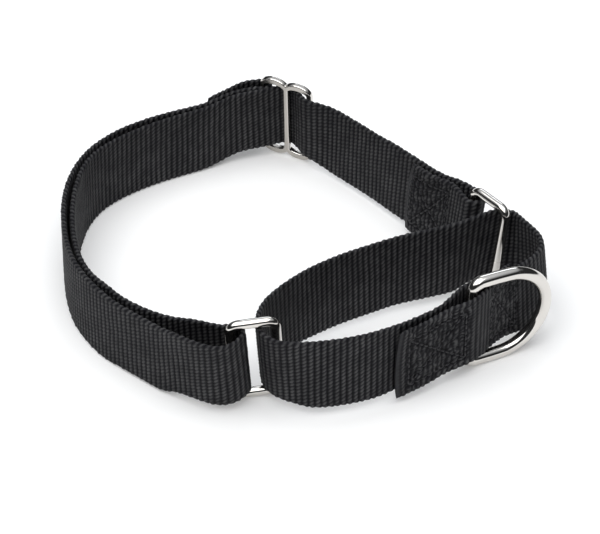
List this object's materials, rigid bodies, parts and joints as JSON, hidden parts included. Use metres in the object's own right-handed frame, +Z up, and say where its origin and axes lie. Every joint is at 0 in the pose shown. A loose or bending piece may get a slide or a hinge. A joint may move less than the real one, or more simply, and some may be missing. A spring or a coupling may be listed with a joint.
{
  "type": "martingale dog collar",
  "caption": "Martingale dog collar of ribbed webbing: an adjustable neck strap with a slider, joined by two rectangular rings to a control loop that carries the leash ring.",
  "frame": {"origin": "middle of the footprint, on the surface that the collar stands on", "axes": "+Z up across the webbing's width; -Y towards the leash ring; +Y towards the slider; +X towards the rear ring and the leash ring's bow"},
  "size_m": [0.1504, 0.1436, 0.0347],
  "materials": {
    "webbing": "black ribbed nylon webbing",
    "thread": "black bonded sewing thread",
    "nickel": "polished nickel plate on steel wire",
    "slider_metal": "satin nickel plate on cast metal"
  },
  "bodies": {
    "collar": {"collar_strap": "webbing", "rear_ring_stitching": "thread"},
    "slider": {"slider": "slider_metal", "slider_stitching": "thread"},
    "control_loop": {"control_loop": "webbing", "leash_tab_left_stitching": "thread", "leash_tab_right_stitching": "thread"},
    "front_ring": {"front_ring": "nickel"},
    "rear_ring": {"rear_ring": "nickel"},
    "leash_ring": {"leash_ring": "nickel"}
  },
  "joints": [
    {"name": "slider_slide", "type": "slide", "parent": "collar", "child": "slider", "axis": [-0.9968, 0.0799, 0], "range_m": [0, 0.012], "deforming": ["collar_strap"]},
    {"name": "loop_pull", "type": "slide", "parent": "collar", "child": "control_loop", "axis": [0.5708, -0.8211, 0], "range_m": [0, 0.008], "deforming": ["control_loop"]},
    {"name": "front_ring_swing", "type": "hinge", "parent": "collar", "child": "front_ring", "pos_m": [-0.02143, -0.06219, 0.0165], "axis": [-0.0502, -0.1631, 0.9853], "range_deg": [-2, 14]},
    {"name": "rear_ring_swing", "type": "hinge", "parent": "collar", "child": "rear_ring", "pos_m": [0.05087, 0.00221, 0.0165], "axis": [0.1177, 0.024, 0.9928], "range_deg": [-12, 2]},
    {"name": "leash_ring_swing", "type": "hinge", "parent": "control_loop", "child": "leash_ring", "pos_m": [0.04907, -0.04649, 0.018], "axis": [0.0621, -0.0477, 0.9969], "range_deg": [-140, 1]}
  ],
  "couplings": [
    {"joint": "front_ring_swing", "follows": "loop_pull", "rad_per_m": 26},
    {"joint": "rear_ring_swing", "follows": "loop_pull", "rad_per_m": -20}
  ]
}
